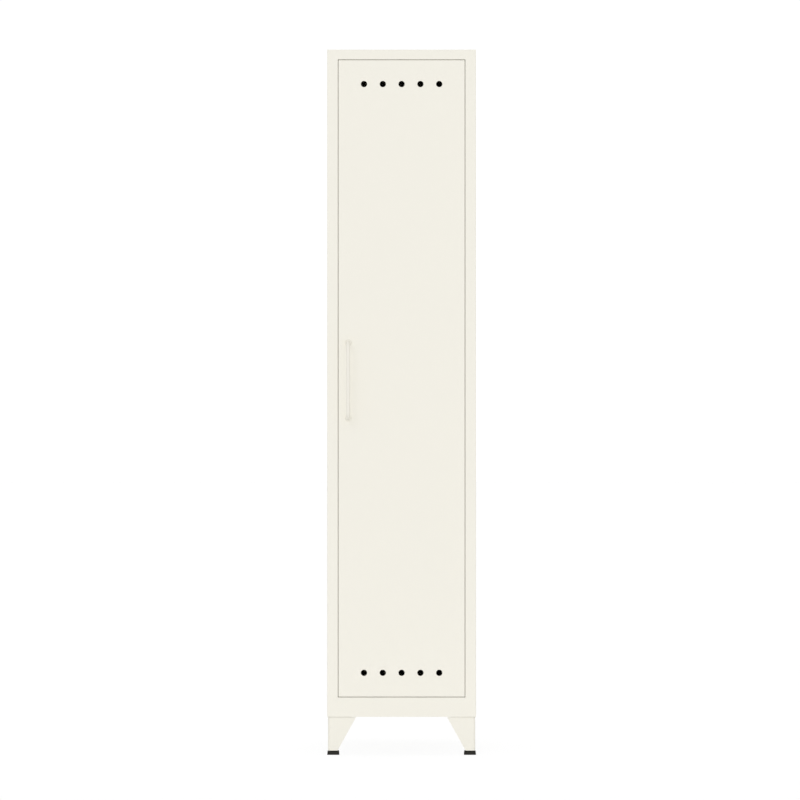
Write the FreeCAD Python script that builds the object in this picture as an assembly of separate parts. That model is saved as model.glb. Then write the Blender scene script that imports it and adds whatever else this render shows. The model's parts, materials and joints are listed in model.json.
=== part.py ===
import FreeCAD, Part
import math
import os

Vector = FreeCAD.Vector

# Driving dimensions in millimetres, angles in degrees

# Cabinet
cabinet_width = 380.0
cabinet_depth = 510.0
cabinet_height = 1800.0
base_height = 97.0
sheet = 1.0
bend_inside_radius = 0.8
rear_flange = 20.0

# Front frame
stile_width = 27.6
top_rail_height = 25.5
bottom_rail_height = 50.0
stop_flange = 14.0
stop_gap = 2.5

# Door leaf
door_gap = 1.1
door_thickness = 20.0
door_lip = 14.0
door_swing = 105.0
vent_diameter = 16.0
vent_pitch = 48.0
vent_count = 5
vent_edge_distance = 61.4

# Door stiffener, a hat section behind the skin
stiffener_crown = 50.0
stiffener_flange = 18.0
stiffener_depth = 13.0
stiffener_vent_clearance = 40.0

# Bow handle
handle_centres = 192.0
handle_diameter = 10.0
handle_projection = 38.0
handle_bend_radius = 15.0
handle_edge_distance = 25.0
handle_drop = 5.0
handle_foot_diameter = 18.0
handle_foot_height = 5.0
handle_screw_diameter = 5.0
handle_screw_grip = 12.0

# Concealed hinges
hinge_spacing = 414.0
hinge_drop = 12.0
hinge_edge_inset = 9.0
hinge_depth = 5.1
hinge_pin_diameter = 3.0
hinge_pin_head_diameter = 5.2
hinge_pin_head_height = 1.2
hinge_pin_tail = 1.2
knuckle_wall = 1.0
arm_thickness = 2.0
arm_height = 20.0
arm_weld_length = 12.0
swing_clearance = 0.4
slot_clearance = 1.2
bracket_thickness = 1.2
bracket_length = 36.0
bracket_reach = 5.0
ear_thickness = 2.0
ear_length = 13.0
ear_clearance = 0.4
ear_margin = 4.8

# Magnetic catch and buffers on the stop flange
catch_height = 50.0
catch_width = 12.0
catch_depth = 16.0
catch_air_gap = 0.3
magnet_width = 6.0
magnet_height = 26.0
magnet_bed_depth = 9.0
catch_screw_diameter = 3.0
catch_screw_head_diameter = 5.6
catch_screw_head_height = 1.6
catch_screw_length = 11.0
catch_screw_end_distance = 5.0
buffer_diameter = 9.0
buffer_end_distance = 100.0

# Hat shelf and its bearers
shelf_height = 1480.0
shelf_edge = 25.0
shelf_hem = 12.0
shelf_side_gap = 1.0
shelf_front_setback = 20.0
shelf_rear_gap = 2.0
bearer_width = 16.0
bearer_height = 20.0
bearer_thickness = 1.5
bearer_end_gap = 6.0

# Coat rail under the shelf
rail_diameter = 25.0
rail_wall = 1.5
rail_drop = 62.0
rail_bracket_thickness = 2.5
rail_bracket_inset = 22.0
rail_bracket_width = 32.0
rail_tab_length = 24.0
rail_ring_width = 7.0
rail_cap_thickness = 2.0
rail_cap_rim = 4.0
rail_plug_length = 10.0
rail_screw_pitch = 18.0

# Legs
leg_inset = 2.0
leg_top_width = 72.0
leg_bottom_width = 24.5
leg_seat_gap = 0.8
leg_sheet = 2.0
leg_bend_radius = 6.0
leg_plate_thickness = 3.0
leg_plate_size = 60.0
leg_plate_chamfer = 30.0
leg_foot_plate_thickness = 4.0
leg_foot_plate_chamfer = 4.0
leg_screw_near = 18.0
leg_screw_far = 44.0
corner_plate_size = 75.0
corner_plate_thickness = 3.0

# Levelling feet
foot_inset = 15.5
foot_height = 10.6
foot_top_width = 29.1
foot_bottom_width = 30.7
foot_crown_width = 23.0
foot_corner_radius = 2.0
foot_crown_radius = 1.0
foot_bevel_height = 1.5
foot_chamfer = 0.5
foot_clearance = 0.3
foot_socket_floor = 4.0
stem_diameter = 8.0
stem_top = 52.0
stem_chamfer = 1.0
stem_nut_size = 13.0
stem_nut_height = 6.5
stem_hole_clearance = 0.5

# Screws, nuts and washers
m5_diameter = 5.0
m5_head_diameter = 9.5
m5_head_height = 3.2
m5_nut_size = 8.0
m5_nut_height = 4.0
m6_diameter = 6.0
m6_head_diameter = 11.0
m6_head_height = 3.6
m6_nut_size = 10.0
m6_nut_height = 5.0
washer_diameter = 12.0
washer_thickness = 1.2
hole_clearance = 0.25
running_clearance = 0.05

# Wall fixing holes
wall_hole_diameter = 8.0
wall_hole_spacing = 200.0
wall_hole_from_top = 100.0

# Positions that follow from the dimensions
bend_radius = bend_inside_radius + sheet
overall_depth = cabinet_depth + handle_projection
back = overall_depth / 2
front = back - cabinet_depth
middle = (front + back) / 2
half = cabinet_width / 2
wall = half - sheet
top = cabinet_height
base = base_height
jamb = half - stile_width
stop_edge = jamb - stop_flange
opening_bottom = base + bottom_rail_height
opening_top = top - top_rail_height
rebate = door_thickness + stop_gap
stop_front = front + rebate
stop_back = stop_front + sheet
floor_level = opening_bottom + stop_flange
rear_inside = back - 2 * sheet

door_half = jamb - door_gap
door_bottom = opening_bottom + door_gap
door_top = opening_top - door_gap
door_middle = (door_bottom + door_top) / 2
door_back = front + door_thickness
skin_back = front + sheet

up = Vector(0, 0, 1)
down = Vector(0, 0, -1)
forward = Vector(0, -1, 0)
rearward = Vector(0, 1, 0)
rightward = Vector(1, 0, 0)


def box(x0, x1, y0, y1, z0, z1):
    return Part.makeBox(x1 - x0, y1 - y0, z1 - z0, Vector(x0, y0, z0))


def rod(diameter, start, direction, length):
    return Part.makeCylinder(diameter / 2, length, start, direction)


def hexagon(across_flats, height, centre):
    radius = across_flats / math.sqrt(3)
    points = []
    for corner in range(7):
        angle = math.radians(60 * corner)
        points.append(centre + Vector(radius * math.cos(angle), radius * math.sin(angle), 0))
    return Part.Face(Part.makePolygon(points)).extrude(Vector(0, 0, height))


def in_plan(u, v):
    return Vector(u, v, 0)


def in_section(u, v):
    return Vector(0, u, v)


def in_front_view(u, v):
    return Vector(u, 0, v)


def rounded_path(points, radii, place):
    edges = []
    last = points[0]
    for index in range(1, len(points) - 1):
        before = points[index - 1]
        here = points[index]
        after = points[index + 1]
        length_in = math.hypot(here[0] - before[0], here[1] - before[1])
        length_out = math.hypot(after[0] - here[0], after[1] - here[1])
        into = ((here[0] - before[0]) / length_in, (here[1] - before[1]) / length_in)
        out = ((after[0] - here[0]) / length_out, (after[1] - here[1]) / length_out)
        cross = into[0] * out[1] - into[1] * out[0]
        turn = math.atan2(cross, into[0] * out[0] + into[1] * out[1])
        radius = radii[index]
        cut = radius * math.tan(abs(turn) / 2)
        start = (here[0] - into[0] * cut, here[1] - into[1] * cut)
        end = (here[0] + out[0] * cut, here[1] + out[1] * cut)
        side = math.copysign(1, turn)
        centre = (start[0] - side * into[1] * radius, start[1] + side * into[0] * radius)
        reach = math.hypot(here[0] - centre[0], here[1] - centre[1])
        crest = (
            centre[0] + (here[0] - centre[0]) * radius / reach,
            centre[1] + (here[1] - centre[1]) * radius / reach,
        )
        edges.append(Part.makeLine(place(*last), place(*start)))
        edges.append(Part.Arc(place(*start), place(*crest), place(*end)).toShape())
        last = end
    edges.append(Part.makeLine(place(*last), place(*points[-1])))
    return edges


# Section of a folded sheet: one side follows the path, the thickness lies to its left
def folded(path, thickness, inside_radius, place):
    offset = []
    near_radii = []
    far_radii = []
    for index, point in enumerate(path):
        normals = []
        for first, second in ((index - 1, index), (index, index + 1)):
            if first >= 0 and second < len(path):
                dx = path[second][0] - path[first][0]
                dy = path[second][1] - path[first][1]
                length = math.hypot(dx, dy)
                normals.append((-dy / length, dx / length))
        first = normals[0]
        last = normals[-1]
        scale = thickness / (1 + first[0] * last[0] + first[1] * last[1])
        offset.append((point[0] + scale * (first[0] + last[0]), point[1] + scale * (first[1] + last[1])))
        left_turn = first[0] * last[1] - first[1] * last[0] > 0
        near_radii.append(inside_radius + thickness if left_turn else inside_radius)
        far_radii.append(inside_radius if left_turn else inside_radius + thickness)
    edges = rounded_path(path, near_radii, place)
    edges += rounded_path(offset, far_radii, place)
    edges.append(Part.makeLine(place(*path[0]), place(*offset[0])))
    edges.append(Part.makeLine(place(*path[-1]), place(*offset[-1])))
    return Part.Face(Part.Wire(Part.__sortEdges__(edges)))


def upright(path, thickness, inside_radius, z0, z1):
    solid = folded(path, thickness, inside_radius, in_plan).extrude(Vector(0, 0, z1 - z0))
    solid.translate(Vector(0, 0, z0))
    return solid


def across(path, thickness, inside_radius, x0, x1):
    solid = folded(path, thickness, inside_radius, in_section).extrude(Vector(x1 - x0, 0, 0))
    solid.translate(Vector(x0, 0, 0))
    return solid


def union(solids):
    return solids[0].fuse(solids[1:]).removeSplitter()


def to_left(shape):
    return shape.mirror(Vector(0, 0, 0), Vector(1, 0, 0))


def to_rear(shape):
    return shape.mirror(Vector(0, middle, 0), Vector(0, 1, 0))


# Notch both sides of a plate, where its corner meets the inside of a bend
def notched(plate, y0):
    low = plate.BoundBox.ZMin
    high = plate.BoundBox.ZMax
    notch = box(wall - bend_inside_radius, wall, y0, y0 + bend_inside_radius, low, high)
    return plate.cut(notch).cut(to_left(notch))


def save(name, *solids):
    shape = solids[0] if len(solids) == 1 else Part.makeCompound(list(solids))
    shape.exportStep("parts/" + name + ".step")


os.makedirs("parts", exist_ok=True)

# Hinge layout, measured from the pin axis: x towards the jamb, y towards the back
axis_x = door_half - hinge_edge_inset
axis_y = front + hinge_depth
edge_swing = math.hypot(hinge_edge_inset - bend_radius, hinge_depth - bend_radius) + bend_radius
arm_front = edge_swing + swing_clearance
arm_back = arm_front + arm_thickness
jamb_hidden_face = hinge_edge_inset + door_gap + sheet
over_swing = math.radians(door_swing - 90)
half_arm = arm_thickness / 2
slot_front = -half_arm * math.cos(over_swing)
slot_front -= (hinge_edge_inset + half_arm * math.sin(over_swing)) * math.tan(over_swing)
hinge_middle = door_middle - hinge_drop
hinges = {
    "upper": hinge_middle + hinge_spacing,
    "middle": hinge_middle,
    "lower": hinge_middle - hinge_spacing,
}
slot_half_height = arm_height / 2 + slot_clearance

# Catch layout on the left stop flange
catch_x = -(jamb + stop_edge) / 2
catch_z = door_middle - handle_drop
catch_screw_levels = (
    catch_z - catch_height / 2 + catch_screw_end_distance,
    catch_z + catch_height / 2 - catch_screw_end_distance,
)

# Side panels
edge_path = [(jamb, front), (half, front), (half, back - sheet), (half - rear_flange, back - sheet)]
jamb_path = [(stop_edge, stop_front), (jamb, stop_front)] + edge_path
side = union([
    upright(edge_path, sheet, bend_inside_radius, base, opening_bottom),
    upright(jamb_path, sheet, bend_inside_radius, opening_bottom, opening_top),
    upright(edge_path, sheet, bend_inside_radius, opening_top, top),
])
right_side = side
for level in hinges.values():
    right_side = right_side.cut(box(
        jamb - sheet, jamb + 2 * sheet,
        axis_y + arm_front - slot_clearance, axis_y + arm_back + swing_clearance,
        level - slot_half_height, level + slot_half_height))
left_side = to_left(side).cut(box(
    catch_x - magnet_width / 2 - hole_clearance, catch_x + magnet_width / 2 + hole_clearance,
    stop_front - sheet, stop_back + sheet,
    catch_z - magnet_height / 2 - hole_clearance, catch_z + magnet_height / 2 + hole_clearance))
for level in catch_screw_levels:
    left_side = left_side.cut(rod(
        catch_screw_diameter + 2 * hole_clearance,
        Vector(catch_x, stop_front - sheet, level), rearward, 3 * sheet))
save("right_side_panel", right_side)
save("left_side_panel", left_side)

# Top panel with the upper rail
plate_back = [(back - sheet, top - rear_flange), (back - sheet, top)]
rail_path = [(front, top), (front, opening_top)]
top_full = plate_back + rail_path + [(stop_front, opening_top), (stop_front, opening_top - stop_flange)]
top_corner = [(rear_inside, top)] + rail_path + [(stop_back, opening_top)]
top_pieces = [across(top_full, sheet, bend_inside_radius, -stop_edge, stop_edge)]
for x0, x1 in ((-jamb, -stop_edge), (stop_edge, jamb)):
    top_pieces.append(across(top_corner, sheet, bend_inside_radius, x0, x1))
for x0, x1 in ((-wall, -jamb), (jamb, wall)):
    top_pieces.append(box(x0, x1, front + sheet, rear_inside, top - sheet, top))
top_panel = notched(notched(union(top_pieces), front + sheet), rear_inside - bend_inside_radius)
save("top_panel", top_panel)

# Base panel with the stepped floor and the lower rail
floor_back = [(back - sheet, floor_level - rear_flange), (back - sheet, floor_level)]
plinth_path = [(front, opening_bottom), (front, base)]
base_full = floor_back + [(stop_front, floor_level), (stop_front, opening_bottom)] + plinth_path
base_corner = [(stop_back, opening_bottom)] + plinth_path
base_pieces = [across(base_full, sheet, bend_inside_radius, -stop_edge, stop_edge)]
for x0, x1 in ((-jamb, -stop_edge), (stop_edge, jamb)):
    base_pieces.append(across(base_corner, sheet, bend_inside_radius, x0, x1))
for x0, x1 in ((-wall, -stop_edge), (stop_edge, wall)):
    base_pieces.append(box(x0, x1, stop_back, rear_inside, floor_level - sheet, floor_level))
save("base_panel", notched(union(base_pieces), rear_inside - bend_inside_radius))

# Back panel
back_half = half - bend_radius
back_panel = box(-back_half, back_half, back - sheet, back, base, top - bend_radius)
for x in (-wall_hole_spacing / 2, wall_hole_spacing / 2):
    hole_start = Vector(x, back - 2 * sheet, top - wall_hole_from_top)
    back_panel = back_panel.cut(rod(wall_hole_diameter, hole_start, rearward, 3 * sheet))
save("back_panel", back_panel)

# Corner plates, legs and feet, built for the front right corner and mirrored
leg_x = half - leg_inset
leg_y = front + leg_inset
leg_bottom = foot_height + foot_clearance
leg_wall_top = base - leg_seat_gap
foot_x = half - foot_inset
foot_y = front + foot_inset
screw_spots = (
    (leg_x - leg_screw_near, leg_y + leg_screw_far),
    (leg_x - leg_screw_far, leg_y + leg_screw_near),
)

plate_start = front + 2 * sheet
corner_plate = notched(box(
    wall - corner_plate_size, wall, plate_start, plate_start + corner_plate_size,
    base, base + corner_plate_thickness), plate_start)
leg_wall_path = [(leg_x - leg_top_width, leg_y), (leg_x, leg_y), (leg_x, leg_y + leg_top_width)]
leg_walls = upright(leg_wall_path, leg_sheet, leg_bend_radius - leg_sheet, leg_bottom, leg_wall_top)
taper = [
    (0, leg_wall_top), (leg_top_width, leg_wall_top), (leg_bottom_width, leg_bottom),
    (0, leg_bottom), (0, leg_wall_top),
]
front_taper = Part.Face(Part.makePolygon([Vector(leg_x - u, leg_y, v) for u, v in taper]))
side_taper = Part.Face(Part.makePolygon([Vector(leg_x, leg_y + u, v) for u, v in taper]))
leg_walls = leg_walls.common(front_taper.extrude(Vector(0, leg_top_width, 0)))
leg_walls = leg_walls.common(side_taper.extrude(Vector(-leg_top_width, 0, 0)))
plate_x = leg_x - leg_sheet
plate_y = leg_y + leg_sheet
plate_clip = leg_bend_radius - leg_sheet


def leg_inside(size, chamfer, z0, z1):
    outline = [
        (plate_clip, 0), (size, 0), (size, size - chamfer),
        (size - chamfer, size), (0, size), (0, plate_clip), (plate_clip, 0),
    ]
    points = [Vector(plate_x - u, plate_y + v, z0) for u, v in outline]
    return Part.Face(Part.makePolygon(points)).extrude(Vector(0, 0, z1 - z0))


leg_plate = leg_inside(leg_plate_size, leg_plate_chamfer, base - leg_plate_thickness, base)
foot_plate = leg_inside(
    leg_bottom_width - leg_sheet, leg_foot_plate_chamfer, leg_bottom, leg_bottom + leg_foot_plate_thickness)
leg = union([leg_walls, leg_plate, foot_plate])
leg = leg.cut(rod(stem_diameter + 2 * stem_hole_clearance, Vector(foot_x, foot_y, 0), up, base / 2))
leg_screws = []
leg_nuts = []
for x, y in screw_spots:
    hole = rod(m6_diameter + 2 * hole_clearance, Vector(x, y, base - 2 * leg_plate_thickness), up,
               2 * leg_plate_thickness + 2 * corner_plate_thickness)
    leg = leg.cut(hole)
    corner_plate = corner_plate.cut(hole)
    under = Vector(x, y, base - leg_plate_thickness - m6_head_height)
    over = Vector(x, y, base + corner_plate_thickness)
    head = rod(m6_head_diameter, under, up, m6_head_height)
    shank_length = m6_head_height + leg_plate_thickness + corner_plate_thickness + m6_nut_height
    leg_screws.append(union([head, rod(m6_diameter, under, up, shank_length)]))
    bore = rod(m6_diameter + 2 * running_clearance, over, up, m6_nut_height)
    leg_nuts.append(hexagon(m6_nut_size, m6_nut_height, over).cut(bore))

foot_nut_base = Vector(foot_x, foot_y, leg_bottom + leg_foot_plate_thickness)
foot_nut = hexagon(stem_nut_size, stem_nut_height, foot_nut_base)
foot_nut = foot_nut.cut(rod(stem_diameter + 2 * running_clearance, foot_nut_base, up, stem_nut_height))


def pad_outline(width, radius, level):
    reach = width / 2
    path = [(0, -reach), (reach, -reach), (reach, reach), (-reach, reach), (-reach, -reach), (0, -reach)]
    edges = rounded_path(path, [radius] * len(path), lambda u, v: Vector(foot_x + u, foot_y + v, level))
    return Part.Wire(Part.__sortEdges__(edges))


foot_pad = Part.makeLoft([
    pad_outline(foot_bottom_width - 2 * foot_chamfer, foot_corner_radius - foot_chamfer, 0),
    pad_outline(foot_bottom_width, foot_corner_radius, foot_chamfer),
    pad_outline(foot_top_width, foot_corner_radius, foot_height - foot_bevel_height),
    pad_outline(foot_crown_width, foot_crown_radius, foot_height),
], True, True)
stem_start = Vector(foot_x, foot_y, foot_socket_floor)
foot_stem = rod(stem_diameter, stem_start, up, stem_top - foot_socket_floor)
foot_pad = foot_pad.cut(foot_stem)
stem_end = [edge for edge in foot_stem.Edges if edge.BoundBox.ZMin > stem_top - stem_chamfer]
foot_stem = foot_stem.makeChamfer(stem_chamfer, stem_end)

corners = {
    "front_right": lambda shape: shape,
    "front_left": to_left,
    "rear_right": to_rear,
    "rear_left": lambda shape: to_rear(to_left(shape)),
}
for corner, move in corners.items():
    save("corner_plate_" + corner, move(corner_plate))
    save("leg_" + corner, move(leg))
    save("foot_pad_" + corner, move(foot_pad))
    save("foot_stem_" + corner, move(foot_stem))
save("leg_screws", *[move(screw) for move in corners.values() for screw in leg_screws])
save("leg_nuts", *[move(nut) for move in corners.values() for nut in leg_nuts])
save("foot_nuts", *[move(foot_nut) for move in corners.values()])

# Door leaf, a hollow folded tray with a window in its back
handle_x = -door_half + handle_edge_distance
handle_z = door_middle - handle_drop
handle_levels = (handle_z - handle_centres / 2, handle_z + handle_centres / 2)
outer = box(-door_half, door_half, front, door_back, door_bottom, door_top)
outer = outer.makeFillet(bend_radius, outer.Edges)
inner = box(
    -door_half + sheet, door_half - sheet, skin_back, door_back - sheet,
    door_bottom + sheet, door_top - sheet)
inner = inner.makeFillet(bend_inside_radius, inner.Edges)
window = box(
    -door_half + door_lip, door_half - door_lip, door_back - 2 * sheet, door_back + sheet,
    door_bottom + door_lip, door_top - door_lip)
door = outer.cut(inner).cut(window)
vent_span = vent_pitch * (vent_count - 1)
for level in (door_bottom + vent_edge_distance, door_top - vent_edge_distance):
    for number in range(vent_count):
        x = number * vent_pitch - vent_span / 2
        door = door.cut(rod(vent_diameter, Vector(x, front - sheet, level), rearward, 3 * sheet))
for level in handle_levels:
    hole_start = Vector(handle_x, front - sheet, level)
    door = door.cut(rod(handle_screw_diameter + 2 * hole_clearance, hole_start, rearward, 3 * sheet))
for level in hinges.values():
    door = door.cut(box(
        door_half - 2 * sheet, door_half + sheet,
        axis_y + slot_front - swing_clearance, axis_y + arm_back + swing_clearance,
        level - slot_half_height, level + slot_half_height))
save("door_panel", door)

# Door stiffener
crown = stiffener_crown / 2
foot_edge = crown + stiffener_flange
hat_path = [
    (-foot_edge, skin_back), (-crown, skin_back), (-crown, skin_back + stiffener_depth),
    (crown, skin_back + stiffener_depth), (crown, skin_back), (foot_edge, skin_back),
]
hat_bottom = door_bottom + vent_edge_distance + stiffener_vent_clearance
hat_top = door_top - vent_edge_distance - stiffener_vent_clearance
save("door_stiffener", upright(hat_path, sheet, bend_inside_radius, hat_bottom, hat_top))

# Bow handle with its screws and washers
bar_y = front - handle_projection + handle_diameter / 2
bend_y = bar_y + handle_bend_radius
bend_levels = (handle_levels[0] + handle_bend_radius, handle_levels[1] - handle_bend_radius)
handle_pieces = [rod(handle_diameter, Vector(0, bar_y, bend_levels[0]), up, bend_levels[1] - bend_levels[0])]
for leg_level, bend_level in zip(handle_levels, bend_levels):
    handle_pieces.append(rod(handle_diameter, Vector(0, front, leg_level), forward, front - bend_y))
    leg_end = Part.makeCircle(handle_diameter / 2, Vector(0, bend_y, leg_level), forward)
    quarter = 90 if bend_level < leg_level else -90
    handle_pieces.append(Part.Face(Part.Wire(leg_end)).revolve(
        Vector(0, bend_y, bend_level), Vector(1, 0, 0), quarter))
    foot_radius = handle_foot_diameter / 2
    foot_centre = Vector(0, front, leg_level)
    handle_pieces.append(Part.makeCone(
        foot_radius, handle_diameter / 2, handle_foot_height, foot_centre, forward))
handle = union(handle_pieces)
handle_screws = []
handle_washers = []
for level in handle_levels:
    tapped = handle_screw_diameter + 2 * running_clearance
    handle = handle.cut(rod(tapped, Vector(0, front, level), forward, handle_screw_grip + sheet))
    seat = Vector(handle_x, skin_back + washer_thickness, level)
    shank = rod(handle_screw_diameter, seat, forward, washer_thickness + sheet + handle_screw_grip)
    head = rod(m5_head_diameter, seat, rearward, m5_head_height)
    handle_screws.append(union([head, shank]))
    washer = rod(washer_diameter, seat, forward, washer_thickness)
    handle_washers.append(washer.cut(rod(
        handle_screw_diameter + 2 * hole_clearance, seat, forward, washer_thickness)))
handle.translate(Vector(handle_x, 0, 0))
save("door_handle", handle)
save("handle_screws", *handle_screws)
save("handle_washers", *handle_washers)

# Concealed hinges: arm on the jamb, bracket and pin in the door
pin_bore = hinge_pin_diameter + 2 * running_clearance
knuckle_diameter = pin_bore + 2 * knuckle_wall
arm_path = [
    (half_arm, 0), (half_arm, arm_front),
    (jamb_hidden_face, arm_front), (jamb_hidden_face, arm_back - arm_weld_length),
]
arm = upright(arm_path, arm_thickness, bend_inside_radius, 0, arm_height)
arm = union([arm, rod(knuckle_diameter, Vector(0, 0, 0), up, arm_height)])
arm = arm.cut(rod(pin_bore, Vector(0, 0, 0), up, arm_height))
ear_base = arm_height / 2 + ear_clearance
ear_top = ear_base + ear_thickness
plate_front = sheet - hinge_depth
bracket_pieces = [box(
    bracket_reach - bracket_length, bracket_reach,
    plate_front, plate_front + bracket_thickness, -ear_top, ear_top)]
for z0, z1 in ((-ear_top, -ear_base), (ear_base, ear_top)):
    bracket_pieces.append(box(bracket_reach - ear_length, bracket_reach, plate_front, ear_margin, z0, z1))
bracket = union(bracket_pieces)
bracket = bracket.cut(rod(pin_bore, Vector(0, 0, -ear_top), up, 2 * ear_top))
pin = union([
    rod(hinge_pin_diameter, Vector(0, 0, -ear_top - hinge_pin_tail), up, 2 * ear_top + hinge_pin_tail),
    rod(hinge_pin_head_diameter, Vector(0, 0, ear_top), up, hinge_pin_head_height),
])
for place, level in hinges.items():
    save("hinge_arm_" + place, arm.translated(Vector(axis_x, axis_y, level - arm_height / 2)))
    save("hinge_bracket_" + place, bracket.translated(Vector(axis_x, axis_y, level)))
    save("hinge_pin_" + place, pin.translated(Vector(axis_x, axis_y, level)))

# Magnetic catch behind the left stop flange
magnet_front = door_back + catch_air_gap
magnet = box(
    catch_x - magnet_width / 2, catch_x + magnet_width / 2, magnet_front, stop_back + magnet_bed_depth,
    catch_z - magnet_height / 2, catch_z + magnet_height / 2)
housing = box(
    catch_x - catch_width / 2, catch_x + catch_width / 2, stop_back, stop_back + catch_depth,
    catch_z - catch_height / 2, catch_z + catch_height / 2)
housing = housing.cut(magnet)
catch_screws = []
for level in catch_screw_levels:
    seat = Vector(catch_x, stop_front, level)
    pilot = catch_screw_diameter + 2 * running_clearance
    housing = housing.cut(rod(pilot, seat, rearward, catch_screw_length + running_clearance))
    head = rod(catch_screw_head_diameter, seat, forward, catch_screw_head_height)
    catch_screws.append(union([head, rod(catch_screw_diameter, seat, rearward, catch_screw_length)]))
save("catch_housing", housing)
save("catch_magnet", magnet)
save("catch_screws", *catch_screws)
buffer_thickness = stop_gap - catch_air_gap
buffers = []
for level in (door_bottom + buffer_end_distance, door_top - buffer_end_distance):
    buffers.append(rod(buffer_diameter, Vector(catch_x, stop_front, level), forward, buffer_thickness))
save("door_buffers", *buffers)

# Hat shelf on two bearers
shelf_front = stop_back + shelf_front_setback
shelf_back = rear_inside - shelf_rear_gap
shelf_under = shelf_height - sheet
shelf_half = wall - shelf_side_gap
shelf_path = [
    (shelf_back, shelf_height - shelf_edge), (shelf_back, shelf_height), (shelf_front, shelf_height),
    (shelf_front, shelf_height - shelf_edge), (shelf_front + shelf_hem, shelf_height - shelf_edge),
]
shelf = across(shelf_path, sheet, bend_inside_radius, -shelf_half, shelf_half)
bearer_path = [(wall, shelf_under - bearer_height), (wall, shelf_under), (wall - bearer_width, shelf_under)]
bearer_front = shelf_front + shelf_hem + bearer_end_gap
bearer_back = shelf_back - sheet - bearer_end_gap
bearer = folded(bearer_path, bearer_thickness, bend_inside_radius, in_front_view)
bearer = bearer.extrude(Vector(0, bearer_back - bearer_front, 0))
bearer.translate(Vector(0, bearer_front, 0))
save("shelf_bearer_right", bearer)
save("shelf_bearer_left", to_left(bearer))

# Coat rail hung below the shelf
rail_y = (shelf_front + shelf_back) / 2
rail_z = shelf_height - rail_drop
bracket_outer = wall - rail_bracket_inset
bracket_inner = bracket_outer - rail_bracket_thickness
tab_end = bracket_outer - rail_tab_length
ring_diameter = rail_diameter + 2 * rail_ring_width
hanger = union([
    box(bracket_inner, bracket_outer, rail_y - rail_bracket_width / 2, rail_y + rail_bracket_width / 2,
        rail_z, shelf_under),
    rod(ring_diameter, Vector(bracket_inner, rail_y, rail_z), rightward, rail_bracket_thickness),
    box(tab_end, bracket_outer, rail_y - rail_bracket_width / 2, rail_y + rail_bracket_width / 2,
        shelf_under - rail_bracket_thickness, shelf_under),
])
ring_start = Vector(bracket_inner, rail_y, rail_z)
ring_bore = rail_diameter + 2 * running_clearance
hanger = hanger.cut(rod(ring_bore, ring_start, rightward, rail_bracket_thickness))
rail_bore = rail_diameter - 2 * rail_wall
rail_end = Vector(bracket_outer, rail_y, rail_z)
plug_end = Vector(bracket_outer - rail_plug_length, rail_y, rail_z)
cap = union([
    rod(rail_diameter + 2 * rail_cap_rim, rail_end, rightward, rail_cap_thickness),
    rod(rail_bore - 2 * running_clearance, plug_end, rightward, rail_plug_length),
])
rail_start = Vector(-bracket_outer, rail_y, rail_z)
rail = rod(rail_diameter, rail_start, rightward, 2 * bracket_outer)
rail = rail.cut(rod(rail_bore, rail_start, rightward, 2 * bracket_outer))
tab_middle = (tab_end + bracket_inner) / 2
rail_screws = []
rail_nuts = []
for y in (rail_y - rail_screw_pitch / 2, rail_y + rail_screw_pitch / 2):
    seat = Vector(tab_middle, y, shelf_height)
    stack = sheet + rail_bracket_thickness + m5_nut_height
    hole = rod(m5_diameter + 2 * hole_clearance, seat, down, stack)
    hanger = hanger.cut(hole)
    shelf = shelf.cut(hole).cut(to_left(hole))
    head = rod(m5_head_diameter, seat, up, m5_head_height)
    rail_screws.append(union([head, rod(m5_diameter, seat, down, stack)]))
    nut_base = Vector(tab_middle, y, shelf_height - stack)
    bore = rod(m5_diameter + 2 * running_clearance, nut_base, up, m5_nut_height)
    rail_nuts.append(hexagon(m5_nut_size, m5_nut_height, nut_base).cut(bore))
save("hat_shelf", shelf)
save("coat_rail", rail)
save("rail_bracket_right", hanger)
save("rail_bracket_left", to_left(hanger))
save("rail_caps", cap, to_left(cap))
save("rail_screws", *(rail_screws + [to_left(screw) for screw in rail_screws]))
save("rail_nuts", *(rail_nuts + [to_left(nut) for nut in rail_nuts]))
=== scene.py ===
import json
import math

import bmesh
import bpy
from mathutils import Matrix, Vector


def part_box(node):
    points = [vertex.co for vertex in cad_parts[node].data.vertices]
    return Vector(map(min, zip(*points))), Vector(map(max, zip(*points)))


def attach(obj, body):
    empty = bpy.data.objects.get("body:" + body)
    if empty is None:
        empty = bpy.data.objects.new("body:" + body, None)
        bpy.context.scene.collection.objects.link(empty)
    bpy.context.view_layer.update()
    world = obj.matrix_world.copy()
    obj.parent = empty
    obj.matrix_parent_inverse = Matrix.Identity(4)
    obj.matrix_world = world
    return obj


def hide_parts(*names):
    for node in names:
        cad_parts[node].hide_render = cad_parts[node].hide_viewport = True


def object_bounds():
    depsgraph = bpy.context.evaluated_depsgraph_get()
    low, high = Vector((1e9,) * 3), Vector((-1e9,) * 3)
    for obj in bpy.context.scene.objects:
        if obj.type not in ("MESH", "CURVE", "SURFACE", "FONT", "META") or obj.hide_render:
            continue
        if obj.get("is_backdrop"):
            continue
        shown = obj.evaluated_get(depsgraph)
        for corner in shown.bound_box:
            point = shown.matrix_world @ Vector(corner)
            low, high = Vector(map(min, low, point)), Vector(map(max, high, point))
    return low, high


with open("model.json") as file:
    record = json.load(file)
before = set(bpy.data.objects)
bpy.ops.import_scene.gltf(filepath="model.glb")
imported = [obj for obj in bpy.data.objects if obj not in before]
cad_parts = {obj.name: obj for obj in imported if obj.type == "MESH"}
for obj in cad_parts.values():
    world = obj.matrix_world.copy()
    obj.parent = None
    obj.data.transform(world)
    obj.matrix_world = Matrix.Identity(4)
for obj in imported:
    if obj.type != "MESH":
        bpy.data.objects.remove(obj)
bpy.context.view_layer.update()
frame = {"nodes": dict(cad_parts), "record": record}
nodes = frame["nodes"]
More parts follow.
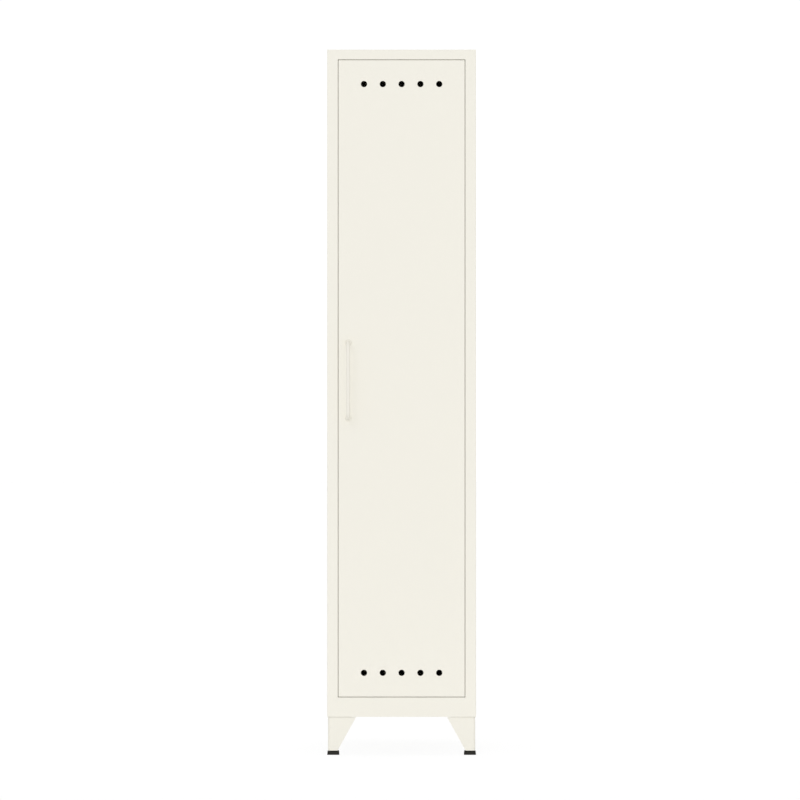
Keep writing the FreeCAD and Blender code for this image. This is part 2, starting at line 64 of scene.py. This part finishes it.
record = frame["record"]
MM = 0.001
TURN = 2 * math.pi

# Camera, square on to the door at about half height, with the frame's width given at the door's face
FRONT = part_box("door_panel")[0].y
CAMERA_DISTANCE = 12.0
FRAME_WIDTH = 2.0415
VIEW_CENTRE_X = -0.0041
VIEW_CENTRE_Z = 0.9057

camera_data = bpy.data.cameras.new("camera")
camera_data.sensor_width = 36.0
camera_data.lens = camera_data.sensor_width * CAMERA_DISTANCE / FRAME_WIDTH
camera_data.clip_end = 200.0
camera = bpy.data.objects.new("camera", camera_data)
camera.location = (VIEW_CENTRE_X, FRONT - CAMERA_DISTANCE, VIEW_CENTRE_Z)
camera.rotation_euler = (math.radians(90), 0, 0)
bpy.context.scene.collection.objects.link(camera)
bpy.context.scene.camera = camera
bpy.context.scene.view_settings.view_transform = "Standard"


# Node materials

def new_material(name):
    """A material with an empty node tree, and that tree."""
    material = bpy.data.materials.new(name)
    material.use_nodes = True
    tree = material.node_tree
    tree.nodes.clear()
    return material, tree


def add(tree, kind, **values):
    """A new node with values for its inputs or its properties."""
    node = tree.nodes.new(kind)
    for key, value in values.items():
        if key in node.inputs:
            node.inputs[key].default_value = value
        else:
            setattr(node, key, value)
    return node


def finish_shader(tree, shader):
    """Gives a material its surface shader."""
    output = tree.nodes.new("ShaderNodeOutputMaterial")
    tree.links.new(shader.outputs[0], output.inputs["Surface"])


# The noise values between which a colour drifts
DARK_END = 0.3
LIGHT_END = 0.7


def surface(
        name, colour, shade, roughness, spread, drift_cells, grain_cells,
        drift_height=0.0, grain_height=0.0, metallic=0.0, specular=0.5):
    """A painted, plated or moulded surface.

    The colour drifts down to the colour times shade over drift_cells to the metre, and the roughness
    varies by spread over the finer grain_cells. Both also stand up as bumps of the given heights.
    """
    material, tree = new_material(name)
    link = tree.links.new
    place = add(tree, "ShaderNodeTexCoord")
    drift = add(tree, "ShaderNodeTexNoise", Scale=drift_cells, Detail=3.0, Roughness=0.55)
    grain = add(tree, "ShaderNodeTexNoise", Scale=grain_cells, Detail=2.0, Roughness=0.5)
    for noise in (drift, grain):
        link(place.outputs["Object"], noise.inputs["Vector"])
    ramp = add(tree, "ShaderNodeValToRGB")
    ramp.color_ramp.elements[0].position = DARK_END
    ramp.color_ramp.elements[1].position = LIGHT_END
    ramp.color_ramp.elements[0].color = (*[c * shade for c in colour], 1)
    ramp.color_ramp.elements[1].color = (*colour, 1)
    link(drift.outputs["Fac"], ramp.inputs["Fac"])
    sheen = add(tree, "ShaderNodeMapRange")
    sheen.inputs["To Min"].default_value = roughness - spread
    sheen.inputs["To Max"].default_value = roughness + spread
    link(grain.outputs["Fac"], sheen.inputs["Value"])
    wave = add(tree, "ShaderNodeBump", Strength=1.0, Distance=drift_height)
    link(drift.outputs["Fac"], wave.inputs["Height"])
    peel = add(tree, "ShaderNodeBump", Strength=1.0, Distance=grain_height)
    link(grain.outputs["Fac"], peel.inputs["Height"])
    link(wave.outputs["Normal"], peel.inputs["Normal"])
    shader = add(tree, "ShaderNodeBsdfPrincipled", Metallic=metallic)
    shader.inputs["Specular IOR Level"].default_value = specular
    link(ramp.outputs["Color"], shader.inputs["Base Color"])
    link(sheen.outputs["Result"], shader.inputs["Roughness"])
    link(peel.outputs["Normal"], shader.inputs["Normal"])
    finish_shader(tree, shader)
    return material


looks = {
    "powder_coat": surface(
        "powder_coat", (0.887, 0.862, 0.775), shade=0.994, roughness=0.5, spread=0.05,
        drift_cells=4.0, grain_cells=700.0, drift_height=0.4 * MM, grain_height=0.04 * MM),
    "zinc_plated": surface(
        "zinc_plated", (0.66, 0.67, 0.69), shade=0.86, roughness=0.34, spread=0.08,
        drift_cells=160.0, grain_cells=1600.0, grain_height=0.006 * MM, metallic=1.0),
    "black_plastic": surface(
        "black_plastic", (0.014, 0.0132, 0.0095), shade=0.8, roughness=0.6, spread=0.08,
        drift_cells=60.0, grain_cells=1400.0, grain_height=0.03 * MM, specular=0.2),
    "rail_chrome": surface(
        "rail_chrome", (0.78, 0.78, 0.79), shade=0.96, roughness=0.09, spread=0.03,
        drift_cells=25.0, grain_cells=300.0, metallic=1.0),
    "buffer_rubber": surface(
        "buffer_rubber", (0.03, 0.03, 0.03), shade=0.8, roughness=0.8, spread=0.06,
        drift_cells=90.0, grain_cells=1500.0, grain_height=0.03 * MM, specular=0.3),
    "ferrite": surface(
        "ferrite", (0.05, 0.05, 0.055), shade=0.75, roughness=0.7, spread=0.1,
        drift_cells=120.0, grain_cells=2200.0, grain_height=0.03 * MM, metallic=0.2),
}

slot_of = {entry["node"]: entry["material_slot"] for entry in record["subparts"]}
body_of = {name: body for body, names in record["behaviour"]["bodies"].items() for name in names}
for name, node in nodes.items():
    node.data.materials.clear()
    node.data.materials.append(looks[slot_of[name]])


# Turned and hexagonal shapes in mesh code, each with its axis along Z

def mesh_object(name, mesh):
    """A mesh as an object in the scene."""
    thing = bpy.data.objects.new(name, mesh)
    bpy.context.scene.collection.objects.link(thing)
    return thing


def skin(rings, loop=False):
    """A closed mesh through rings of points.

    A ring of one point closes an end, and loop joins the last ring to the first.
    """
    built = bmesh.new()
    rows = [[built.verts.new(point) for point in ring] for ring in rings]
    count = max(len(row) for row in rows)
    pairs = list(zip(rows, rows[1:]))
    if loop:
        pairs.append((rows[-1], rows[0]))
    for low, high in pairs:
        for index in range(count):
            after = (index + 1) % count
            corners = [low[index % len(low)], low[after % len(low)]]
            corners += [high[after % len(high)], high[index % len(high)]]
            built.faces.new(list(dict.fromkeys(corners)))
    bmesh.ops.recalc_face_normals(built, faces=built.faces)
    mesh = bpy.data.meshes.new("shape")
    built.to_mesh(mesh)
    built.free()
    return mesh


def turned(rows, columns, loop=False):
    """Rows are a radius and a height; a radius may also be a function of the angle."""
    rings = []
    for radius, height in rows:
        if radius == 0:
            rings.append([(0, 0, height)])
            continue
        ring = []
        for column in range(columns):
            angle = TURN * column / columns
            reach = radius(angle) if callable(radius) else radius
            ring.append((reach * math.cos(angle), reach * math.sin(angle), height))
        rings.append(ring)
    return skin(rings, loop)


def dome(radius, base, rise, inner=0.0, steps=6):
    """Rows of a quarter ellipse from the rim in to the axis."""
    rows = []
    for step in range(1, steps + 1):
        angle = math.pi / 2 * step / steps
        reach = inner + (radius - inner) * math.cos(angle)
        rows.append((0 if step == steps and inner == 0 else reach, base + rise * math.sin(angle)))
    return rows


# Rows to a turn of thread, and its depth as a share of the pitch
THREAD_STEPS = 8
THREAD_DEPTH = 0.6


def thread_radius(radius, depth, turns):
    """The radius of a thread at each angle, at a height given in turns."""
    def at(angle):
        phase = (turns - angle / TURN) % 1
        return radius - depth * (1 - abs(2 * phase - 1))
    return at


def thread(radius, pitch, start, end):
    """Rows of a right-hand thread that runs out at both ends."""
    depth = THREAD_DEPTH * pitch
    count = round(abs(end - start) / pitch * THREAD_STEPS)
    rows = []
    for step in range(count + 1):
        height = start + (end - start) * step / count
        runout = min(1, step / THREAD_STEPS, (count - step) / THREAD_STEPS)
        rows.append((thread_radius(radius, depth * runout, height / pitch), height))
    return rows


def prism(outline, top, bottom, taper):
    """A closed prism whose lower end is the outline made smaller."""
    upper = [(x, y, top) for x, y in outline]
    lower = [(x * taper, y * taper, bottom) for x, y in outline]
    return skin([[(0, 0, top)], upper, lower, [(0, 0, bottom)]])


def cross_outline(length, width):
    """A cross with four equal arms."""
    a = length / 2
    b = width / 2
    quarter = [(a, -b), (a, b), (b, b)]
    outline = []
    for turn in range(4):
        for x, y in quarter:
            for _ in range(turn):
                x, y = -y, x
            outline.append((x, y))
    return outline


def hex_outline(across_flats):
    """A hexagon by its width across flats."""
    radius = across_flats / math.sqrt(3)
    return [(radius * math.cos(TURN * k / 6), radius * math.sin(TURN * k / 6)) for k in range(6)]


def cut(shape, cutter):
    """The mesh of one closed shape with another taken out of it."""
    holder = mesh_object("holder", shape)
    tool = mesh_object("tool", cutter)
    change = holder.modifiers.new("cut", "BOOLEAN")
    change.object = tool
    change.solver = "EXACT"
    depsgraph = bpy.context.evaluated_depsgraph_get()
    result = bpy.data.meshes.new_from_object(holder.evaluated_get(depsgraph))
    bpy.data.objects.remove(holder)
    bpy.data.objects.remove(tool)
    return result


ROUND_COLUMNS = 40
# Shares of the pitch
THREAD_START = 0.4
TIP_DEPTH = 0.5
# Shares of the head's height
HEAD_EDGE = 0.12
HEAD_SIDE = 0.4
RECESS_DEPTH = 0.6
RECESS_TOP = 1.1
# Shares of the head's radius, and how far each recess narrows to its bottom
CROSS_LENGTH = 1.15
CROSS_WIDTH = 0.32
CROSS_TAPER = 0.55
SOCKET_WIDTH = 0.9
SOCKET_TAPER = 0.98


def screw(head_radius, head_height, radius, length, pitch, recess):
    """A pan head screw: the head stands on Z = 0 and the threaded shank points down."""
    edge = HEAD_EDGE * head_height
    side = HEAD_SIDE * head_height
    rows = [(0, -length), (radius - TIP_DEPTH * pitch, -length)]
    rows += thread(radius, pitch, -length + THREAD_START * pitch, -pitch)
    rows += [(radius, 0), (head_radius - edge, 0), (head_radius, edge), (head_radius, side)]
    rows += dome(head_radius, side, head_height - side)
    if recess == "cross":
        outline = cross_outline(CROSS_LENGTH * head_radius, CROSS_WIDTH * head_radius)
        taper = CROSS_TAPER
    else:
        outline = hex_outline(SOCKET_WIDTH * head_radius)
        taper = SOCKET_TAPER
    cutter = prism(outline, RECESS_TOP * head_height, (1 - RECESS_DEPTH) * head_height, taper)
    return cut(turned(rows, ROUND_COLUMNS), cutter)


NUT_COLUMNS = 72
CHAMFER_STEPS = 4
NUT_SLOPE = math.tan(math.radians(30))
# The flat end's share of the half width across flats, and the bore's lead-in as a share of the width
NUT_CROWN = 0.95
NUT_LEAD = 0.08


def nut(across_flats, height, bore):
    """A hexagon nut from Z = 0 up, its corners turned off at both ends."""
    flat = across_flats / 2
    crown = NUT_CROWN * flat
    depth = (across_flats / math.sqrt(3) - crown) * NUT_SLOPE

    def side(limit):
        def at(angle):
            within = (angle + TURN / 12) % (TURN / 6) - TURN / 12
            corner = TURN / 12 - abs(within)
            return min(limit, flat / math.cos(corner))
        return at

    rows = []
    for step in range(CHAMFER_STEPS + 1):
        drop = depth * step / CHAMFER_STEPS
        rows.append((side(crown + drop / NUT_SLOPE), drop))
    rows += [(radius, height - drop) for radius, drop in reversed(rows)]
    lead = NUT_LEAD * across_flats
    rows += [(bore + lead, height), (bore, height - lead), (bore, lead), (bore + lead, 0)]
    return turned(rows, NUT_COLUMNS, loop=True)


MERGE_DISTANCE = 0.001 * MM


def solids(node):
    """The boxes of the separate solids in a node, each as its lowest and highest corner."""
    copy = bmesh.new()
    copy.from_mesh(nodes[node].data)
    bmesh.ops.remove_doubles(copy, verts=copy.verts, dist=MERGE_DISTANCE)
    left = set(copy.verts)
    boxes = []
    while left:
        island = [left.pop()]
        for vert in island:
            for edge in vert.link_edges:
                other = edge.other_vert(vert)
                if other in left:
                    left.remove(other)
                    island.append(other)
        low = Vector([min(vert.co[axis] for vert in island) for axis in range(3)])
        high = Vector([max(vert.co[axis] for vert in island) for axis in range(3)])
        boxes.append((low, high))
    copy.free()
    return sorted(boxes, key=lambda corners: tuple(round(value / MM) for value in corners[0]))


SHARP_ANGLE = math.radians(32)


def assemble(name, parts, node, replace=True):
    """One object from meshes at their places, with the body and finish of a node that it may replace."""
    built = bmesh.new()
    for mesh, place in parts:
        copy = mesh.copy()
        copy.transform(place)
        built.from_mesh(copy)
        bpy.data.meshes.remove(copy)
    bmesh.ops.remove_doubles(built, verts=built.verts, dist=MERGE_DISTANCE)
    for face in built.faces:
        face.smooth = True
    for edge in built.edges:
        edge.smooth = edge.calc_face_angle(0) < SHARP_ANGLE
    mesh = bpy.data.meshes.new(name)
    built.to_mesh(mesh)
    built.free()
    thing = mesh_object(name, mesh)
    mesh.materials.append(looks[slot_of[node]])
    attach(thing, body_of[node])
    if replace:
        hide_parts(node)


def seats(node, axis, end):
    """For each solid of a node: the point where the given end of its axis stands, and that direction."""
    places = []
    for low, high in solids(node):
        point = (low + high) / 2
        point[axis] = high[axis] if end > 0 else low[axis]
        direction = Vector((0, 0, 0))
        direction[axis] = end
        places.append((point, direction))
    return places


def facing(point, direction, spin=0.0):
    """Stands a shape on a point, its Z axis along the direction."""
    turn = direction.to_track_quat("Z", "Y").to_matrix().to_4x4()
    return Matrix.Translation(point) @ turn @ Matrix.Rotation(spin, 4, "Z")


# Each screw of a group is turned on by this much from the one before it
SPIN_STEP = 0.382 * TURN
Y_AXIS = 1
Z_AXIS = 2


def place_screws(node, axis, end, head_radius, head_height, radius, pitch, recess):
    """Screws in place of the plain ones, as long as those are, with their heads at an end of the axis."""
    low, high = solids(node)[0]
    length = high[axis] - low[axis] - head_height
    shape = screw(head_radius, head_height, radius, length, pitch, recess)
    parts = []
    for index, (point, direction) in enumerate(seats(node, axis, end)):
        parts.append((shape, facing(point - head_height * direction, direction, SPIN_STEP * index)))
    assemble(node + "_threaded", parts, node)


M6_RADIUS = 3.0 * MM
M6_PITCH = 1.0 * MM
M5_RADIUS = 2.5 * MM
M5_PITCH = 0.8 * MM
M8_RADIUS = 4.0 * MM
M8_PITCH = 1.25 * MM
CATCH_SCREW_RADIUS = 1.5 * MM
CATCH_SCREW_PITCH = 1.1 * MM
M5_HEAD = {"head_radius": 4.75 * MM, "head_height": 3.2 * MM}
place_screws(
    "leg_screws", Z_AXIS, -1, head_radius=5.5 * MM, head_height=3.6 * MM,
    radius=M6_RADIUS, pitch=M6_PITCH, recess="hex")
place_screws("rail_screws", Z_AXIS, 1, **M5_HEAD, radius=M5_RADIUS, pitch=M5_PITCH, recess="cross")
place_screws("handle_screws", Y_AXIS, 1, **M5_HEAD, radius=M5_RADIUS, pitch=M5_PITCH, recess="cross")
place_screws(
    "catch_screws", Y_AXIS, -1, head_radius=2.8 * MM, head_height=1.6 * MM,
    radius=CATCH_SCREW_RADIUS, pitch=CATCH_SCREW_PITCH, recess="cross")

BORE_CLEARANCE = 0.05 * MM


def place_nuts(node, radius):
    """Chamfered nuts in place of the plain ones, for a screw of the given radius."""
    low, high = solids(node)[0]
    shape = nut(high.y - low.y, high.z - low.z, radius + BORE_CLEARANCE)
    parts = [(shape, Matrix.Translation(point)) for point, _ in seats(node, Z_AXIS, -1)]
    assemble(node + "_chamfered", parts, node)


place_nuts("leg_nuts", M6_RADIUS)
place_nuts("rail_nuts", M5_RADIUS)
place_nuts("foot_nuts", M8_RADIUS)

# Washers under the handle's screws
WASHER_BORE = 2.75 * MM
WASHER_EDGE = 0.25 * MM
low, high = solids("handle_washers")[0]
washer_radius = (high.x - low.x) / 2
washer_thickness = high.y - low.y
washer_levels = [(WASHER_EDGE, 0), (0, WASHER_EDGE)]
washer_levels += [(0, washer_thickness - WASHER_EDGE), (WASHER_EDGE, washer_thickness)]
washer_rows = [(WASHER_BORE + inset, height) for inset, height in washer_levels]
washer_rows += [(washer_radius - inset, height) for inset, height in reversed(washer_levels)]
washer = turned(washer_rows, ROUND_COLUMNS, loop=True)
assemble(
    "handle_washers_rounded",
    [(washer, facing(point, -direction)) for point, direction in seats("handle_washers", Y_AXIS, 1)],
    "handle_washers")

# Hinge pins, each with a domed head above and a swaged tail below, the tail as radii and heights
PIN_RADIUS = 1.5 * MM
PIN_HEAD_HEIGHT = 1.2 * MM
PIN_HEAD_SIDE = 0.35 * PIN_HEAD_HEIGHT
PIN_TAIL = ((0.5 * PIN_RADIUS, 0), (0.85 * PIN_RADIUS, 0.25 * MM), (PIN_RADIUS, 0.8 * MM))
for level in ("upper", "middle", "lower"):
    node = "hinge_pin_" + level
    low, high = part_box(node)
    head_radius = (high.x - low.x) / 2
    neck = high.z - low.z - PIN_HEAD_HEIGHT
    rows = [(0, 0), *PIN_TAIL, (PIN_RADIUS, neck)]
    rows += [(head_radius, neck), (head_radius, neck + PIN_HEAD_SIDE)]
    rows += dome(head_radius, neck + PIN_HEAD_SIDE, PIN_HEAD_HEIGHT - PIN_HEAD_SIDE)
    foot = Vector(((low.x + high.x) / 2, (low.y + high.y) / 2, low.z))
    assemble(node + "_domed", [(turned(rows, ROUND_COLUMNS), Matrix.Translation(foot))], node)

# Rubber buffers with a domed face, above a plain rim that is a share of the thickness
BUFFER_RIM = 0.35
BUFFER_COLUMNS = 48
BUFFER_STEPS = 8
low, high = solids("door_buffers")[0]
buffer_radius = (high.x - low.x) / 2
buffer_thickness = high.y - low.y
rim = BUFFER_RIM * buffer_thickness
buffer_rows = [(0, 0), (buffer_radius, 0), (buffer_radius, rim)]
buffer_rows += dome(buffer_radius, rim, buffer_thickness - rim, steps=BUFFER_STEPS)
door_buffer = turned(buffer_rows, BUFFER_COLUMNS)
assemble(
    "door_buffers_domed",
    [(door_buffer, facing(point, -direction)) for point, direction in seats("door_buffers", Y_AXIS, 1)],
    "door_buffers")

# Moulded catch housing: the node's own shape with the edges behind the flange rounded
HOUSING_EDGE = 1.2 * MM
HOUSING_STEPS = 4
FLAT_ANGLE = math.radians(1)
FLANGE_SIDE = (Y_AXIS, False)


def box_sides(edge, low, high):
    """The sides of a box that an edge lies on, each as an axis and whether it is the high side."""
    found = set()
    for axis in range(3):
        for side in (low, high):
            if all(abs(vert.co[axis] - side[axis]) < MERGE_DISTANCE for vert in edge.verts):
                found.add((axis, side is high))
    return found


def rounded_behind(node, kept_side):
    """A node's own mesh with the edges of its box rounded, apart from those of one side."""
    low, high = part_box(node)
    built = bmesh.new()
    built.from_mesh(nodes[node].data)
    bmesh.ops.remove_doubles(built, verts=built.verts, dist=MERGE_DISTANCE)
    bmesh.ops.dissolve_limit(built, angle_limit=FLAT_ANGLE, verts=built.verts, edges=built.edges)
    outer = []
    for edge in built.edges:
        sides = box_sides(edge, low, high)
        if len(sides) == 2 and kept_side not in sides:
            outer.append(edge)
    bmesh.ops.bevel(
        built, geom=outer, offset=HOUSING_EDGE, offset_type="OFFSET", segments=HOUSING_STEPS, profile=0.5,
        affect="EDGES")
    mesh = bpy.data.meshes.new("rounded")
    built.to_mesh(mesh)
    built.free()
    return mesh


housing = rounded_behind("catch_housing", FLANGE_SIDE)
assemble("catch_housing_moulded", [(housing, Matrix.Identity(4))], "catch_housing")

# Levelling stems with an M8 thread
STEM_CHAMFER = 1.0 * MM
pad_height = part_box("foot_pad_front_left")[1].z
stem_low, stem_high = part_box("foot_stem_front_left")
stem_rows = [(0, stem_low.z), (M8_RADIUS, stem_low.z)]
stem_rows += thread(M8_RADIUS, M8_PITCH, pad_height, stem_high.z - STEM_CHAMFER)
stem_rows += [(M8_RADIUS - STEM_CHAMFER, stem_high.z), (0, stem_high.z)]
stem = turned(stem_rows, ROUND_COLUMNS)
for corner in ("front_left", "front_right", "rear_left", "rear_right"):
    node = "foot_stem_" + corner
    low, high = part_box(node)
    middle = (low + high) / 2
    middle.z = 0
    assemble(node + "_threaded", [(stem, Matrix.Translation(middle))], node)

# Caps on the ends of the coat rail, each a disc, flat over a share of its radius, with a plug in the tube
CAP_RIM = 0.6 * MM
CAP_PLUG_RADIUS = 10.95 * MM
CAP_THICKNESS = 2.0 * MM
CAP_FLAT = 0.8
CAP_COLUMNS = 64
CAP_STEPS = 4
low, high = solids("rail_caps")[0]
cap_radius = (high.z - low.z) / 2
cap_length = high.x - low.x
plug_length = cap_length - CAP_THICKNESS
rim_end = plug_length + CAP_RIM
cap_rows = [(0, 0), (CAP_PLUG_RADIUS - CAP_RIM, 0), (CAP_PLUG_RADIUS, CAP_RIM)]
cap_rows += [(CAP_PLUG_RADIUS, plug_length), (cap_radius - CAP_RIM, plug_length), (cap_radius, rim_end)]
cap_rows += dome(cap_radius, rim_end, cap_length - rim_end, inner=CAP_FLAT * cap_radius, steps=CAP_STEPS)
cap_rows += [(0, cap_length)]
cap = turned(cap_rows, CAP_COLUMNS)
cap_places = []
for low, high in solids("rail_caps"):
    outward = math.copysign(1, low.x)
    point = (low + high) / 2
    point.x = low.x if outward > 0 else high.x
    cap_places.append((cap, facing(point, Vector((outward, 0, 0)))))
assemble("rail_caps_rounded", cap_places, "rail_caps")

# Ground welds that close the upper rear corners, from the top plate's rear bend to the sides' flanges
WELD_DEPTH = 1.0 * MM
WELD_STEPS = 6
back_low, back_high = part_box("back_panel")
sheet = back_high.y - back_low.y
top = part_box("top_panel")[1].z
weld_rows = [(0, back_high.z - WELD_DEPTH), (sheet, back_high.z - WELD_DEPTH), (sheet, back_high.z)]
weld_rows += dome(sheet, back_high.z, top - back_high.z, steps=WELD_STEPS)


def rear_points(node):
    """The X of a node's points that lie against the back panel."""
    return [vert.co.x for vert in nodes[node].data.vertices if vert.co.y > back_low.y - sheet / 2]


def bar(section, ends):
    """A closed bar along X from one end to the other, with a section in Y and Z."""
    rings = [[(x, y, z) for y, z in section] for x in ends]
    middles = [[tuple(sum(values) / len(ring) for values in zip(*ring))] for ring in rings]
    return skin([middles[0], *rings, middles[1]])


weld_section = [(back_low.y - sheet + reach, height) for reach, height in weld_rows]
weld_ends = [
    (max(rear_points("top_panel")), min(rear_points("right_side_panel"))),
    (max(rear_points("left_side_panel")), min(rear_points("top_panel")))]
assemble(
    "corner_welds", [(bar(weld_section, ends), Matrix.Identity(4)) for ends in weld_ends], "top_panel",
    replace=False)


# Stage and light

def seen_directly(tree):
    """1 for rays from the camera, also by way of metal or glass, 0 for rays that light the object."""
    path = add(tree, "ShaderNodeLightPath")
    first = add(tree, "ShaderNodeMath", operation="ADD", use_clamp=True)
    tree.links.new(path.outputs["Is Camera Ray"], first.inputs[0])
    tree.links.new(path.outputs["Is Glossy Ray"], first.inputs[1])
    both = add(tree, "ShaderNodeMath", operation="ADD", use_clamp=True)
    tree.links.new(first.outputs[0], both.inputs[0])
    tree.links.new(path.outputs["Is Transmission Ray"], both.inputs[1])
    return both


# The floor takes the object's shadow. Rays that are seen pass it for the most part, so that the
# background behind it makes it white and a foot that is screwed out shows below it. WHITE is a
# little over 1, to make up for what the floor takes from the background.
FLOOR_HALF = 40.0
FLOOR_COLOUR = (0.86, 0.86, 0.86, 1)
FLOOR_CLEAR = 0.9
WHITE = 1.04
floor_mesh = bpy.data.meshes.new("floor")
corner_signs = ((-1, -1), (1, -1), (1, 1), (-1, 1))
floor_mesh.from_pydata([(x * FLOOR_HALF, y * FLOOR_HALF, 0) for x, y in corner_signs], [], [(0, 1, 2, 3)])
floor = mesh_object("floor", floor_mesh)
floor_look, tree = new_material("pale_floor")
plain = add(tree, "ShaderNodeBsdfDiffuse", Color=FLOOR_COLOUR)
clear = add(tree, "ShaderNodeBsdfTransparent", Color=(1, 1, 1, 1))
amount = add(tree, "ShaderNodeMath", operation="MULTIPLY")
amount.inputs[1].default_value = FLOOR_CLEAR
tree.links.new(seen_directly(tree).outputs[0], amount.inputs[0])
mixed = add(tree, "ShaderNodeMixShader")
tree.links.new(amount.outputs[0], mixed.inputs[0])
tree.links.new(plain.outputs[0], mixed.inputs[1])
tree.links.new(clear.outputs[0], mixed.inputs[2])
finish_shader(tree, mixed)
floor_mesh.materials.append(floor_look)
floor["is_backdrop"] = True

# Soft light from all round, stronger from behind, because the lamps below light the front alone.
# A direction's Y tells them apart, from -1 in front to 1 behind.
WORLD_LIGHT_FRONT = 0.742
WORLD_LIGHT_BACK = 0.95
FRONT_UP_TO = -0.1
BACK_FROM = 0.6
world = bpy.data.worlds.new("studio")
world.use_nodes = True
tree = world.node_tree
tree.nodes.clear()
direction = add(tree, "ShaderNodeTexCoord")
split = add(tree, "ShaderNodeSeparateXYZ")
tree.links.new(direction.outputs["Generated"], split.inputs[0])
behind = add(tree, "ShaderNodeMapRange")
behind.inputs["From Min"].default_value = FRONT_UP_TO
behind.inputs["From Max"].default_value = BACK_FROM
behind.inputs["To Min"].default_value = WORLD_LIGHT_FRONT
behind.inputs["To Max"].default_value = WORLD_LIGHT_BACK
tree.links.new(split.outputs["Y"], behind.inputs["Value"])
seen = add(tree, "ShaderNodeBackground", Color=(1, 1, 1, 1), Strength=WHITE)
fill = add(tree, "ShaderNodeBackground", Color=(1, 1, 1, 1))
tree.links.new(behind.outputs["Result"], fill.inputs["Strength"])
mixed = add(tree, "ShaderNodeMixShader")
tree.links.new(seen_directly(tree).outputs[0], mixed.inputs[0])
tree.links.new(fill.outputs[0], mixed.inputs[1])
tree.links.new(seen.outputs[0], mixed.inputs[2])
output = tree.nodes.new("ShaderNodeOutputWorld")
tree.links.new(mixed.outputs[0], output.inputs["Surface"])
bpy.context.scene.world = world


def far_lamp(name, sideways, upward, spread, share):
    """A distant light by its angles from the door's normal, its spread and its share of full light."""
    light = bpy.data.lights.new(name, "SUN")
    light.angle = math.radians(spread)
    sideways = math.radians(sideways)
    upward = math.radians(upward)
    towards = Vector((
        -math.sin(sideways) * math.cos(upward), math.cos(sideways) * math.cos(upward), -math.sin(upward)))
    light.energy = share * math.pi
    thing = bpy.data.objects.new(name, light)
    thing.rotation_euler = towards.to_track_quat("-Z", "Y").to_euler()
    bpy.context.scene.collection.objects.link(thing)


far_lamp("front", sideways=0.0, upward=0.9, spread=1.6, share=0.2)
far_lamp("key", sideways=-27.0, upward=37.0, spread=12.0, share=0.042)

# A low strip lights the legs, because the object keeps light from the floor in front of them
STRIP_SIZE = (1.2, 0.1)
STRIP_DISTANCE = 0.35
STRIP_WATTS = 0.06
strip_light = bpy.data.lights.new("floor_strip", "AREA")
strip_light.shape = "RECTANGLE"
strip_light.size, strip_light.size_y = STRIP_SIZE
strip_light.energy = STRIP_WATTS
strip = bpy.data.objects.new("floor_strip", strip_light)
strip.location = (0, FRONT - STRIP_DISTANCE, STRIP_SIZE[1] / 2)
strip.rotation_euler = (math.radians(90), 0, 0)
strip.visible_camera = False
bpy.context.scene.collection.objects.link(strip)

low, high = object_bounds()
